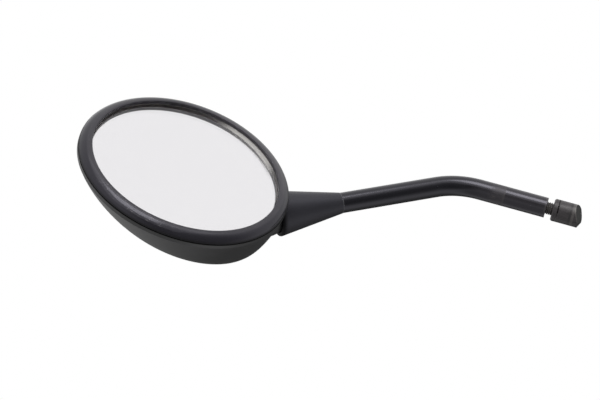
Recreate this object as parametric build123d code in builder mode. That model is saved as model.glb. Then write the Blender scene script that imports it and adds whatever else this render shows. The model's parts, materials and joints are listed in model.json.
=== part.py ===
from build123d import *
import os
from math import acos, asin, cos, degrees, radians, sin, sqrt, tan

# Round motorcycle mirror on a bent stem, left-hand pattern, in millimetres.
# The stem's lower run stands along +Z and the glass looks towards -Y.
# The origin is on the stem's axis, halfway up the plain grip of the plug.

# Plug at the foot of the stem
plug_dia = 14.0
grip_length = 13.2
saw_width = 0.8
saw_depth = 3.9
saw_heading = -130.0
collar_length = 2.9
plug_edge = 0.8
nose_length = 2.0
nose_tip_dia = 6.4
bevel_heading = -96.5
bevel_angle = 63.4
bevel_rise = 3.1

# Threaded stud between plug and tube
stud_dia = 8.0
stud_clearance = 0.05
stud_gap = 4.0
stud_in_plug = 13.0
stud_in_tube = 16.0
stud_chamfer = 0.7

# Tube
tube_dia = 12.6
tube_wall = 1.5
lower_run = 56.85
upper_run = 125.93
bend_angle = 35.83
bend_radius = 45.0
lean_heading = 172.0

# Conical neck cover, measured along the stem from the ball
mouth_dia = 27.4
mouth_from_ball = 6.4
mouth_edge = 1.4
neck_length = 41.8
neck_tip_dia = 12.9
neck_web = 4.0

# Ball stud and the two seats round the ball
ball_dia = 13.0
waist_dia = 6.6
shank_length = 22.0
shank_chamfer = 0.8
seat_wall = 1.2
seat_clearance = 0.25
seat_split = 17.0
lower_seat_span = 42.0

# Socket of the housing, and the recess in which the neck's mouth swings
boss_radius = 12.8
cup_clearance = 0.6
swing_limit = 14.2
opening_clearance = 0.5
recess_clearance = 0.9
recess_wall = 2.2
bore_clearance = 0.35

# Pressure ring, disc springs, retainer plate and screws
ring_floor = 1.2
ring_front = 3.0
ring_hole_dia = 7.0
ring_clearance = 0.12
spring_thickness = 0.9
spring_cone = 0.7
spring_bore_dia = 8.2
spring_clearance = 0.6
spring_gap = 0.04
plate_thickness = 2.0
plate_lap = 1.1
plate_ear_dia = 8.0
plate_hole_dia = 6.0
screw_spacing = 28.4
screw_dia = 3.0
screw_length = 8.0
screw_head_dia = 5.6
screw_head_height = 2.2
screw_edge = 0.4
screw_boss_dia = 7.6
screw_hole_clearance = 0.2

# Head: levels are along the glass's normal
head_pitch = 12.0
ball_bearing = 23.7
ball_inset = 6.4
ball_from_back = 17.4

# Bowl of the housing: circles that shrink and shift towards the ball as they go back
bowl_wall = 2.7
bowl_depth = 38.0
bowl_fullness = 3.52
bowl_slope = 1.09
bowl_shift = 0.737
bowl_steps = (1.0, 0.95, 0.88, 0.78, 0.65, 0.5, 0.3, 0.1)
rim_face = 0.5
groove_height = 0.7
groove_depth = 1.0
rim_band = 2.2
ledge_thickness = 2.5
ledge_width = 9.0

# Glass, foam pad and rubber bead
glass_radius = 59.6
glass_thickness = 2.5
glass_edge_level = 2.0
glass_curve = 1200.0
pad_margin = 0.6
pad_gap = 0.05
pad_edge_thickness = 2.45
bead_glass_clearance = 0.1
bead_leg = 1.1
bead_leg_clearance = 0.5
bead_setback = 0.1
bead_shoulder_in = 2.2
bead_shoulder_drop = 1.7
bead_crest_in = 4.8
bead_crest_rise = 0.65
bead_lip_in = 7.4
bead_lip_rise = 1.7
bead_lip_bulge = 0.55

# Levels along the foot of the stem
grip_top = grip_length / 2
grip_bottom = -grip_length / 2
plug_top = grip_top + saw_width + collar_length
tube_end = plug_top + stud_gap
nose_tip = grip_bottom - nose_length

# Directions and points of the stem
lean = Vector(cos(radians(lean_heading)), sin(radians(lean_heading)), 0)
up_run = Vector(0, 0, cos(radians(bend_angle))) + lean * sin(radians(bend_angle))
neck_dir = up_run * -1
stem_foot = Vector(0, 0, tube_end)
stem_corner = stem_foot + Vector(0, 0, lower_run)
ball_centre = stem_corner + up_run * upper_run

# Radii and levels of the head, from the glass outwards and backwards
leg_inner = glass_radius + bead_glass_clearance
leg_outer = leg_inner + bead_leg
rim_inner = leg_outer + bead_leg_clearance
rim_radius = rim_inner + bowl_wall
bead_foot = rim_radius - bead_setback
bead_lip_level = glass_edge_level + bead_lip_rise
bead_crest_level = bead_lip_level + bead_crest_rise
bead_shoulder_level = bead_crest_level - bead_shoulder_drop
glass_back_edge = glass_edge_level - glass_thickness
ledge_level = glass_back_edge - pad_gap - pad_edge_thickness
groove_level = rim_face - groove_height
bowl_top = groove_level - rim_band
ball_offset = rim_radius - ball_inset
ball_behind = bowl_depth - bowl_top - ball_from_back

# Directions and planes of the head
glass_normal = Vector(0, -cos(radians(head_pitch)), -sin(radians(head_pitch)))
head_up = Vector(0, -sin(radians(head_pitch)), cos(radians(head_pitch)))
head_right = Vector(1, 0, 0)
to_ball = head_right * sin(radians(ball_bearing)) - head_up * cos(radians(ball_bearing))
head_centre = ball_centre - to_ball * ball_offset + glass_normal * ball_behind
head_plane = Plane(origin=head_centre, x_dir=to_ball, z_dir=glass_normal)
head_section = Plane(origin=head_centre, x_dir=to_ball, z_dir=to_ball.cross(glass_normal))
head_axis = Axis(head_centre, glass_normal)

# Planes of the ball joint: the section has x across the stem and y along it, from the ball
tilt_dir = neck_dir.cross(glass_normal).normalized()
joint_plane = Plane(origin=ball_centre, x_dir=tilt_dir, z_dir=neck_dir)
joint_section = Plane(origin=ball_centre, x_dir=tilt_dir, z_dir=tilt_dir.cross(neck_dir))
joint_axis = Axis(ball_centre, neck_dir)

# Planes of the plug: x of the saw's plane points to the open side of the cut
saw_dir = Vector(cos(radians(saw_heading)), sin(radians(saw_heading)), 0)
bevel_dir = Vector(cos(radians(bevel_heading)), sin(radians(bevel_heading)), 0)
saw_plane = Plane(origin=(0, 0, grip_top), x_dir=saw_dir, z_dir=(0, 0, 1))
bevel_plane = Plane(
    origin=bevel_dir * (plug_dia / 2) + Vector(0, 0, grip_bottom + bevel_rise),
    z_dir=bevel_dir * cos(radians(bevel_angle)) - Vector(0, 0, sin(radians(bevel_angle))),
)

# Radii and stations of the stem and the ball joint
tube_radius = tube_dia / 2
tube_bore_radius = tube_radius - tube_wall
ball_radius = ball_dia / 2
waist_radius = waist_dia / 2
waist_start = sqrt(ball_radius**2 - waist_radius**2)
seat_inner = ball_radius + seat_clearance
seat_outer = seat_inner + seat_wall
socket_radius = seat_outer + seat_clearance
bore_radius = socket_radius + bore_clearance
cup_radius = boss_radius + cup_clearance
mouth_radius = mouth_dia / 2
mouth_reach = sqrt(mouth_radius**2 + mouth_from_ball**2)
mouth_polar = degrees(acos(mouth_from_ball / mouth_reach))
neck_end = mouth_from_ball + neck_length
tube_stop = cup_radius + neck_web
recess_radius = mouth_reach + recess_clearance
recess_polar = mouth_polar + swing_limit + degrees(recess_clearance / recess_radius)
web_polar = recess_polar + degrees(recess_wall / boss_radius)
tip_reach = sqrt((neck_tip_dia / 2) ** 2 + neck_end**2)
tip_polar = degrees(acos(neck_end / tip_reach)) + swing_limit
ring_radius = bore_radius - ring_clearance
ring_back = -(socket_radius + ring_floor)
spring_height = spring_thickness + spring_cone
plate_seat = ring_back - 2 * spring_height - spring_gap


def on_sphere(radius, polar):
    """Point of the joint section at an angle from the stem's direction."""
    return (radius * sin(radians(polar)), radius * cos(radians(polar)))


def seat_arc(radius, first, last):
    """Arc about the ball's centre between two angles from the stem's direction."""
    return ThreePointArc(
        on_sphere(radius, first), on_sphere(radius, (first + last) / 2), on_sphere(radius, last)
    )


def recess_profile(polar, wall):
    """Corners of the room that the swinging neck needs, or of the wall round that room."""
    room_radius, room_end = on_sphere(tip_reach, tip_polar)
    return [
        (0, 0),
        on_sphere(recess_radius + wall, polar),
        (room_radius + recess_clearance + wall, room_end),
        (0, room_end),
    ]


def opening_at(station):
    """Radius that the swinging waist needs at a station along the stem."""
    swing = radians(swing_limit)
    return waist_radius / cos(swing) + station * tan(swing) + opening_clearance


def glass_front(radius):
    """Level of the convex front of the glass at a distance from its middle."""
    edge = sqrt(glass_curve**2 - glass_radius**2)
    return glass_edge_level + sqrt(glass_curve**2 - radius**2) - edge


def pad_top(radius):
    """Level of the foam pad under the silvered back of the glass."""
    return glass_front(radius) - glass_thickness - pad_gap


def bowl_level(fraction, depth):
    """Distance behind the rim at which the bowl has shrunk to a fraction of its radius."""
    return depth * (1 - fraction**bowl_fullness) ** (1 / bowl_slope)


os.makedirs("parts", exist_ok=True)

# Plug: turned, with a tapered and bevelled nose, a blind bore and a saw cut under its collar
with BuildPart() as clamp_plug:
    with BuildSketch(Plane.XZ):
        with BuildLine():
            Polyline(
                (0, nose_tip),
                (nose_tip_dia / 2, nose_tip),
                (plug_dia / 2, grip_bottom),
                (plug_dia / 2, plug_top - plug_edge),
                (plug_dia / 2 - plug_edge, plug_top),
                (0, plug_top),
                close=True,
            )
        make_face()
    revolve(axis=Axis.Z)
    split(bisect_by=bevel_plane, keep=Keep.BOTTOM)
    with BuildSketch(Plane.XY.offset(plug_top)):
        Circle(stud_dia / 2 + stud_clearance)
    extrude(amount=-(stud_in_plug + stud_chamfer), mode=Mode.SUBTRACT)
    with BuildSketch(saw_plane):
        with Locations((plug_dia / 2 - saw_depth, 0)):
            Rectangle(plug_dia, plug_dia, align=(Align.MIN, Align.CENTER))
    extrude(amount=saw_width, mode=Mode.SUBTRACT)
clamp_plug.part.label = "clamp_plug"
export_step(clamp_plug.part, "parts/clamp_plug.step")

# Stud: screwed into the plug, pressed into the tube
with BuildPart() as mounting_stud:
    with BuildSketch(Plane.XY.offset(plug_top - stud_in_plug)):
        Circle(stud_dia / 2)
    extrude(amount=stud_in_plug + stud_gap)
    chamfer(mounting_stud.faces().sort_by(Axis.Z)[0].edges(), stud_chamfer)
    with BuildSketch(Plane.XY.offset(tube_end)):
        Circle(tube_bore_radius)
    extrude(amount=stud_in_tube)
mounting_stud.part.label = "mounting_stud"
export_step(mounting_stud.part, "parts/mounting_stud.step")

# Tube: one bend between two straight runs
with BuildPart() as stem_tube:
    with BuildLine() as stem_path:
        FilletPolyline(
            stem_foot, stem_corner, ball_centre + neck_dir * tube_stop, radius=bend_radius
        )
    with BuildSketch(Plane.XY.offset(tube_end)):
        Circle(tube_radius)
        Circle(tube_bore_radius, mode=Mode.SUBTRACT)
    sweep(path=stem_path.wires()[0])
stem_tube.part.label = "stem_tube"
export_step(stem_tube.part, "parts/stem_tube.step")

# Neck: cone on the tube's upper end, with a cup-shaped mouth round the housing's boss
cup_at_bore = sqrt(cup_radius**2 - tube_bore_radius**2)
cup_at_mouth = sqrt(cup_radius**2 - mouth_from_ball**2)
with BuildPart() as neck:
    with BuildSketch(joint_section) as neck_profile:
        with BuildLine():
            Polyline(
                (cup_at_mouth, mouth_from_ball),
                (mouth_radius, mouth_from_ball),
                (neck_tip_dia / 2, neck_end),
                (tube_radius, neck_end),
                (tube_radius, tube_stop),
                (tube_bore_radius, tube_stop),
                (tube_bore_radius, cup_at_bore),
            )
            ThreePointArc(
                (tube_bore_radius, cup_at_bore),
                on_sphere(cup_radius, mouth_polar / 2),
                (cup_at_mouth, mouth_from_ball),
            )
        make_face()
        fillet(neck_profile.vertices().sort_by_distance((mouth_radius, mouth_from_ball))[0], mouth_edge)
    revolve(axis=joint_axis)
neck.part.label = "neck"
export_step(neck.part, "parts/neck.step")

# Ball stud: ball, waist and a shank that is pressed into the tube
shank_end = tube_stop + shank_length
with BuildPart() as ball_stud:
    with BuildSketch(joint_section):
        with BuildLine():
            ThreePointArc((0, -ball_radius), (ball_radius, 0), (waist_radius, waist_start))
            Polyline(
                (waist_radius, waist_start),
                (waist_radius, tube_stop),
                (tube_bore_radius, tube_stop),
                (tube_bore_radius, shank_end - shank_chamfer),
                (tube_bore_radius - shank_chamfer, shank_end),
                (0, shank_end),
                (0, -ball_radius),
            )
        make_face()
    revolve(axis=joint_axis)
ball_stud.part.label = "ball_stud"
export_step(ball_stud.part, "parts/ball_stud.step")

# Lower seat: moulded ring on the stem's side of the ball
lower_last = 90 - seat_split / 2
lower_first = lower_last - lower_seat_span
with BuildPart() as lower_seat:
    with BuildSketch(joint_section):
        with BuildLine():
            seat_arc(seat_inner, lower_first, lower_last)
            Line(on_sphere(seat_inner, lower_last), on_sphere(seat_outer, lower_last))
            seat_arc(seat_outer, lower_last, lower_first)
            Line(on_sphere(seat_outer, lower_first), on_sphere(seat_inner, lower_first))
        make_face()
    revolve(axis=joint_axis)
lower_seat.part.label = "lower_seat"
export_step(lower_seat.part, "parts/lower_seat.step")

# Upper seat: moulded cup on the far side of the ball
upper_first = 90 + seat_split / 2
with BuildPart() as upper_seat:
    with BuildSketch(joint_section):
        with BuildLine():
            seat_arc(seat_inner, upper_first, 180)
            Line((0, -seat_inner), (0, -seat_outer))
            seat_arc(seat_outer, 180, upper_first)
            Line(on_sphere(seat_outer, upper_first), on_sphere(seat_inner, upper_first))
        make_face()
    revolve(axis=joint_axis)
upper_seat.part.label = "upper_seat"
export_step(upper_seat.part, "parts/upper_seat.step")

# Pressure ring: presses the upper seat on the ball
ring_hole = ring_hole_dia / 2
ring_front_polar = 90 + degrees(asin(ring_front / socket_radius))
ring_hole_polar = 180 - degrees(asin(ring_hole / socket_radius))
with BuildPart() as pressure_ring:
    with BuildSketch(joint_section):
        with BuildLine():
            seat_arc(socket_radius, ring_hole_polar, ring_front_polar)
            Polyline(
                on_sphere(socket_radius, ring_front_polar),
                (ring_radius, -ring_front),
                (ring_radius, ring_back),
                (ring_hole, ring_back),
                on_sphere(socket_radius, ring_hole_polar),
            )
        make_face()
    revolve(axis=joint_axis)
pressure_ring.part.label = "pressure_ring"
export_step(pressure_ring.part, "parts/pressure_ring.step")

# Disc springs: a facing pair between the ring and the plate
spring_outer = bore_radius - spring_clearance
spring_inner = spring_bore_dia / 2
with BuildPart() as disc_springs:
    with BuildSketch(joint_section):
        with BuildLine():
            Polyline(
                (spring_outer, ring_back),
                (spring_outer, ring_back - spring_thickness),
                (spring_inner, ring_back - spring_height),
                (spring_inner, ring_back - spring_cone),
                close=True,
            )
        make_face()
        with BuildLine():
            Polyline(
                (spring_outer, plate_seat),
                (spring_outer, plate_seat + spring_thickness),
                (spring_inner, plate_seat + spring_height),
                (spring_inner, plate_seat + spring_cone),
                close=True,
            )
        make_face()
    revolve(axis=joint_axis)
disc_springs.part.label = "disc_springs"
export_step(disc_springs.part, "parts/disc_springs.step")

# Retainer plate: flange with two ears that closes the socket from inside
screw_places = [(-screw_spacing / 2, 0), (screw_spacing / 2, 0)]
with BuildPart() as retainer_plate:
    with BuildSketch(joint_plane.offset(plate_seat)):
        Circle(bore_radius + plate_lap)
        with Locations(*screw_places):
            Circle(plate_ear_dia / 2)
        make_hull()
        Circle(plate_hole_dia / 2, mode=Mode.SUBTRACT)
        with Locations(*screw_places):
            Circle(screw_dia / 2 + screw_hole_clearance, mode=Mode.SUBTRACT)
    extrude(amount=-plate_thickness)
retainer_plate.part.label = "retainer_plate"
export_step(retainer_plate.part, "parts/retainer_plate.step")

# Retainer screws: a pair of round-headed screws
plate_back = plate_seat - plate_thickness
with BuildPart() as retainer_screws:
    with BuildSketch(joint_plane.offset(plate_back)):
        with Locations(*screw_places):
            Circle(screw_head_dia / 2)
    extrude(amount=-screw_head_height)
    chamfer(retainer_screws.faces().sort_by(joint_axis)[:2].edges(), screw_edge)
    with BuildSketch(joint_plane.offset(plate_back)):
        with Locations(*screw_places):
            Circle(screw_dia / 2)
    extrude(amount=plate_thickness + screw_length)
retainer_screws.part.label = "retainer_screws"
export_step(retainer_screws.part, "parts/retainer_screws.step")

# Outer and inner surfaces of the bowl, as solids
with BuildPart() as bowl_outside:
    for fraction in bowl_steps:
        with BuildSketch(head_plane.offset(bowl_top - bowl_level(fraction, bowl_depth))):
            with Locations((bowl_shift * rim_radius * (1 - fraction), 0)):
                Circle(rim_radius * fraction)
    loft()

with BuildPart() as bowl_inside:
    for fraction in bowl_steps:
        with BuildSketch(head_plane.offset(bowl_top - bowl_level(fraction, bowl_depth - bowl_wall))):
            with Locations((bowl_shift * rim_inner * (1 - fraction), 0)):
                Circle(rim_inner * fraction)
    loft()

# Ledge under the pad, and the walls of the joint's recess, kept within the bowl
web_station = screw_spacing / 2 / tan(radians(web_polar)) + recess_wall / 2
with BuildPart() as bowl_walls:
    with BuildSketch(head_plane.offset(ledge_level)):
        Circle(rim_inner)
        Circle(rim_inner - ledge_width, mode=Mode.SUBTRACT)
    extrude(amount=-ledge_thickness)
    with BuildSketch(joint_section):
        with BuildLine():
            Polyline(*recess_profile(web_polar, recess_wall), close=True)
        make_face()
    revolve(axis=joint_axis)
    with BuildSketch(joint_plane.offset(plate_seat)):
        with Locations(*screw_places):
            Circle(screw_boss_dia / 2)
    extrude(amount=web_station - plate_seat)
    add(bowl_outside.part, mode=Mode.INTERSECT)
    with BuildSketch(head_plane.offset(ledge_level)):
        Circle(rim_inner)
    extrude(amount=rim_face - ledge_level, mode=Mode.SUBTRACT)

# Socket: hollow boss for the ball and the seats, with a bore for the ring and the springs behind it
tower_radius = bore_radius + recess_wall
opening_low = sqrt(socket_radius**2 - opening_at(waist_start) ** 2)
opening_high = sqrt(boss_radius**2 - opening_at(boss_radius) ** 2)
opening_low_polar = degrees(acos(opening_low / socket_radius))
opening_high_polar = degrees(acos(opening_high / boss_radius))
with BuildPart() as socket:
    with BuildSketch(joint_section):
        with BuildLine():
            seat_arc(boss_radius, opening_high_polar, 90)
            Polyline(
                (boss_radius, 0),
                (tower_radius, 0),
                (tower_radius, plate_seat),
                (bore_radius, plate_seat),
                (bore_radius, 0),
                (socket_radius, 0),
            )
            seat_arc(socket_radius, 90, opening_low_polar)
            Line(on_sphere(socket_radius, opening_low_polar), on_sphere(boss_radius, opening_high_polar))
        make_face()
    revolve(axis=joint_axis)

# Housing: eccentric bowl with a groove under the bead, a recess for the neck's mouth and the socket
with BuildPart() as housing:
    add(bowl_outside.part)
    add(bowl_inside.part, mode=Mode.SUBTRACT)
    with BuildSketch(head_section):
        with BuildLine():
            Polyline(
                (rim_radius - groove_depth, rim_face),
                (rim_inner, rim_face),
                (rim_inner, bowl_top),
                (rim_radius, bowl_top),
                (rim_radius, groove_level),
                (rim_radius - groove_depth, groove_level),
                close=True,
            )
        make_face()
    revolve(axis=head_axis)
    add(bowl_walls.part)
    with BuildSketch(joint_section):
        with BuildLine():
            Polyline(*recess_profile(recess_polar, 0), close=True)
        make_face()
    revolve(axis=joint_axis, mode=Mode.SUBTRACT)
    with BuildSketch(joint_plane.offset(plate_seat)):
        Circle(bore_radius + recess_wall / 2)
    extrude(amount=ball_radius - plate_seat, mode=Mode.SUBTRACT)
    add(socket.part)
    with BuildSketch(joint_plane.offset(plate_seat)):
        with Locations(*screw_places):
            Circle(screw_dia / 2)
    extrude(amount=screw_length, mode=Mode.SUBTRACT)
housing.part.label = "housing"
export_step(housing.part, "parts/housing.step")

# Mirror glass: slightly convex disc
with BuildPart() as mirror_glass:
    with BuildSketch(head_section):
        with BuildLine():
            ThreePointArc(
                (0, glass_front(0)),
                (glass_radius / 2, glass_front(glass_radius / 2)),
                (glass_radius, glass_edge_level),
            )
            Line((glass_radius, glass_edge_level), (glass_radius, glass_back_edge))
            ThreePointArc(
                (glass_radius, glass_back_edge),
                (glass_radius / 2, glass_front(glass_radius / 2) - glass_thickness),
                (0, glass_front(0) - glass_thickness),
            )
            Line((0, glass_front(0) - glass_thickness), (0, glass_front(0)))
        make_face()
    revolve(axis=head_axis)
mirror_glass.part.label = "mirror_glass"
export_step(mirror_glass.part, "parts/mirror_glass.step")

# Foam pad between the glass and the ledge
pad_radius = glass_radius - pad_margin
with BuildPart() as backing_pad:
    with BuildSketch(head_section):
        with BuildLine():
            ThreePointArc(
                (0, pad_top(0)), (pad_radius / 2, pad_top(pad_radius / 2)), (pad_radius, pad_top(pad_radius))
            )
            Polyline(
                (pad_radius, pad_top(pad_radius)),
                (pad_radius, ledge_level),
                (0, ledge_level),
                (0, pad_top(0)),
            )
        make_face()
    revolve(axis=head_axis)
backing_pad.part.label = "backing_pad"
export_step(backing_pad.part, "parts/backing_pad.step")

# Rubber bead: raised ring over the edge of the glass, with a leg inside the housing's rim
bead_shoulder = bead_foot - bead_shoulder_in
bead_crest = bead_foot - bead_crest_in
bead_lip = bead_foot - bead_lip_in
lip_middle = (
    (bead_crest + bead_lip) / 2 - bead_lip_bulge,
    (bead_crest_level + bead_lip_level) / 2 + bead_lip_bulge,
)
bead_on_glass = glass_front(bead_lip) + bead_glass_clearance
with BuildPart() as rim_seal:
    with BuildSketch(head_section):
        with BuildLine():
            ThreePointArc(
                (bead_foot, rim_face), (bead_shoulder, bead_shoulder_level), (bead_crest, bead_crest_level)
            )
            ThreePointArc((bead_crest, bead_crest_level), lip_middle, (bead_lip, bead_lip_level))
            Polyline(
                (bead_lip, bead_lip_level),
                (bead_lip, bead_on_glass),
                (leg_inner, bead_on_glass),
                (leg_inner, ledge_level),
                (leg_outer, ledge_level),
                (leg_outer, rim_face),
                (bead_foot, rim_face),
            )
        make_face()
    revolve(axis=head_axis)
rim_seal.part.label = "rim_seal"
export_step(rim_seal.part, "parts/rim_seal.step")
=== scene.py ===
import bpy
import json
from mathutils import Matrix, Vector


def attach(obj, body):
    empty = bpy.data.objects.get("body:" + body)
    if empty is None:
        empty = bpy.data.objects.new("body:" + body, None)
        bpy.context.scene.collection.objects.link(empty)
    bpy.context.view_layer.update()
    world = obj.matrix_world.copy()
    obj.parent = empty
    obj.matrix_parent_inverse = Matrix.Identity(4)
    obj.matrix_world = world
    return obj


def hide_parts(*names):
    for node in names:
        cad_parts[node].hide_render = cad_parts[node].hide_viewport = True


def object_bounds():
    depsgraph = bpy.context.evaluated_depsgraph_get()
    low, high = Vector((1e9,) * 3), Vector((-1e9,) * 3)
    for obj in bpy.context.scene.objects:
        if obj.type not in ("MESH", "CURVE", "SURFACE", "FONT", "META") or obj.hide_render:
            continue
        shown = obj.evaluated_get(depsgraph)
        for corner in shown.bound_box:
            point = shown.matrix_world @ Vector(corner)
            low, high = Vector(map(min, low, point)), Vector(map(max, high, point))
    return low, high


bl_info = {
    "name": "Round Motorcycle Mirror",
    "version": (1, 0, 0),
    "blender": (4, 5, 0),
    "location": "View3D > Sidebar > Mirror",
    "description": "Dresses the solids of a round motorcycle mirror on a bent stem",
    "category": "Object",
}

import json
from math import acos, asin, atan2, cos, pi, radians, sin, sqrt, tan

import bmesh
import bpy
from mathutils import Matrix, Vector

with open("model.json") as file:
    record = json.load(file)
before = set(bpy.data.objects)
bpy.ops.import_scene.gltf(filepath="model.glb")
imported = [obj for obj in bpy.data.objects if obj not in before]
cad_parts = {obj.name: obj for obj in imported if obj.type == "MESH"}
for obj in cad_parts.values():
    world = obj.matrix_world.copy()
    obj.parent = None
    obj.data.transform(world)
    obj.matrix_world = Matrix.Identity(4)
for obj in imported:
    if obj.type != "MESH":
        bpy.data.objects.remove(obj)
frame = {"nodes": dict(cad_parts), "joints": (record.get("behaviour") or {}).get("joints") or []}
cad_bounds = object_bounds()
cad_middle = Vector(cad_bounds[0]).lerp(Vector(cad_bounds[1]), 0.5)
joints = {joint["name"]: joint for joint in frame["joints"]}
ball = Vector(joints["head_turn"]["pos_m"])
stem_way = Vector(joints["head_turn"]["axis"]).normalized()
tilt_way = Vector(joints["head_tilt"]["axis"]).normalized()

MM = 0.001
UP = Vector((0.0, 0.0, 1.0))
BLACK = (0.0, 0.0, 0.0, 1.0)
WHITE = (1.0, 1.0, 1.0, 1.0)

# Angles between faces from which an edge is shaded sharp, and rounded on a finished piece
SHARP_FROM = radians(32.0)
ROUNDED_FROM = radians(30.0)

# Levels at which the rubbed band of the tube and the dark and pale rings of the plug start, are full, fade
# and end, in millimetres
RUBBED_BAND = (40.0, 41.2, 46.0, 52.0)
DARK_RING = (-1.6, -1.2, -0.4, 0.1)
PALE_RING = (-3.6, -3.1, -2.0, -1.5)


# Settings that a user would change
def amount(name, description, value, **kind):
    """A number."""
    return bpy.props.FloatProperty(name=name, description=description, default=value, **kind)


def length(name, description, millimetres):
    """A size in metres, given here in millimetres."""
    return amount(name, description, millimetres * MM, unit="LENGTH", precision=5)


def angle(name, description, degrees):
    """An angle in radians, given here in degrees."""
    return amount(name, description, radians(degrees), subtype="ANGLE")


def share(name, description, value):
    """A part of the whole, from 0 to 1."""
    return amount(name, description, value, subtype="FACTOR")


def three(name, description, values, **kind):
    """Three numbers."""
    return bpy.props.FloatVectorProperty(name=name, description=description, default=values, **kind)


def place(name, description, *point):
    """A point in metres."""
    return three(name, description, point, subtype="TRANSLATION", unit="LENGTH")


def direction(name, description, *way):
    """A direction of any length."""
    return three(name, description, way, subtype="DIRECTION")


def colour(name, description, *tint):
    """A linear colour of a finish."""
    return three(name, description, tint, subtype="COLOR", min=0.0, max=1.0)


class StemSizes(bpy.types.PropertyGroup):
    """Sizes of the plug, the stud, the tube and the neck."""

    plug_radius: length("Plug radius", "Outside of the plug", 7.0)
    grip_half: length("Half grip", "From the origin to either end of the grip", 6.6)
    nose_length: length("Nose length", "Tapered end of the plug", 2.0)
    nose_tip_radius: length("Nose tip radius", "Flat end of the nose", 3.2)
    bevel_heading: angle("Bevel heading", "Direction of the nose's filed side", -96.5)
    bevel_angle: angle("Bevel angle", "From the heading down to the filed side's normal", 63.4)
    bevel_rise: length("Bevel rise", "Reach of the filed side up the grip", 3.1)
    saw_width: length("Saw cut width", "Cut under the plug's collar", 0.8)
    saw_depth: length("Saw cut depth", "Depth of that cut", 3.9)
    saw_heading: angle("Saw heading", "Direction of its open side", -130.0)
    collar_length: length("Collar length", "Collar above the saw cut", 2.9)
    plug_edge: length("Collar chamfer", "Chamfer of the collar's upper edge", 0.8)
    plug_softness: length("Plug softness", "Rounding of the plug's other edges", 0.12)
    stud_radius: length("Stud radius", "Crest of the stud's thread", 4.0)
    stud_clearance: length("Stud clearance", "Room round the stud in the plug", 0.05)
    stud_in_plug: length("Stud in plug", "Stud inside the plug", 13.0)
    stud_end_room: length("Stud end room", "From the stud's end to its bore's end", 0.7)
    stud_in_tube: length("Stud in tube", "Stud inside the tube", 16.0)
    stud_gap: length("Stud gap", "Stretch of the stud that shows", 4.0)
    thread_pitch: length("Thread pitch", "Rise of the thread in one turn", 1.25)
    thread_depth: length("Thread depth", "Crest to root of the thread", 0.72)
    thread_flat: share("Thread flat", "Flat crest as a part of the pitch", 0.12)
    tube_radius: length("Tube radius", "Outside of the tube", 6.3)
    tube_wall: length("Tube wall", "Thickness of the tube", 1.5)
    tube_edge: length("Tube edge", "Rounding of the tube's sawn end", 0.25)
    lower_run: length("Lower run", "From the tube's end to the corner of its runs", 56.85)
    bend_radius: length("Bend radius", "Radius of the tube's bend", 45.0)
    mouth_radius: length("Mouth radius", "Wide end of the neck", 13.7)
    mouth_from_ball: length("Mouth from ball", "From the ball to the neck's mouth", 6.4)
    mouth_edge: length("Mouth edge", "Rounding of the neck's mouth", 1.4)
    neck_length: length("Neck length", "From the mouth to the narrow end", 41.8)
    neck_tip_radius: length("Neck tip radius", "Narrow end of the neck", 6.45)
    neck_tip_edge: length("Neck tip edge", "Rounding of the narrow end", 0.06)
    cup_radius: length("Cup radius", "Hollow of the neck's mouth", 13.4)
    neck_web: length("Neck web", "Wall between the cup and the tube's end", 4.0)


class HeadSizes(bpy.types.PropertyGroup):
    """Sizes of the bead and the glass: levels along the glass's normal, sides counted from the ball."""

    pitch: angle("Pitch", "How far the glass looks down", 12.0)
    ball_bearing: angle("Ball bearing", "From straight down to the ball's side", 23.7)
    ball_offset: length("Ball offset", "From the head's axis to the ball", 57.6)
    ball_behind: length("Ball behind", "From level zero back to the ball", 23.0)
    glass_radius: length("Glass radius", "Edge of the glass", 59.6)
    glass_thickness: length("Glass thickness", "Thickness of the glass", 2.5)
    glass_edge: length("Glass edge", "Ground edge of the glass", 0.4)
    glass_level: length("Glass level", "Level of the glass's front at its edge", 2.0)
    glass_curve: length("Glass curve", "Radius of the convex front", 1200.0)
    rim_face: length("Rim face", "Level of the housing's rim under the bead", 0.5)
    ledge_level: length("Ledge level", "Level of the housing's ledge", -3.0)
    bead_foot: length("Bead foot", "Radius of the bead at the groove", 63.9)
    bead_top: length("Bead top", "Radius where the bead is highest", 57.2)
    bead_top_level: length("Bead top level", "Highest level of the bead", 4.75)
    bead_lip: length("Bead lip", "Radius of the bead's inner lip", 56.5)
    # Out to this radius the crest is lighter: wear, with a painted sheen
    bead_crest_edge: length("Rubbed zone", "Radius up to which the bead is rubbed", 59.6)
    bead_softness: length("Bead softness", "Rounding of the bead's other edges", 0.15)
    bead_clearance: length("Bead clearance", "Room between the bead and the glass", 0.1)
    bead_leg: length("Bead leg", "Thickness of the leg inside the rim", 1.1)
    groove_level: length("Groove level", "Level of the step under the bead's foot", -0.2)
    scuff_bearing: angle("Scuffed side", "Side of the bead that is scuffed most", -126.0)
    # The side with the most dusting under the lip, which is also given painted light on the crest, the lip
    # and the glass's edge
    dust_and_light_bearing: angle("Dusty side", "Side of the bead whose lip is dustiest", 36.0)
    wiped_bearing: angle("Wiped side", "Side of the bead whose lip is clean", -90.0)


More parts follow.
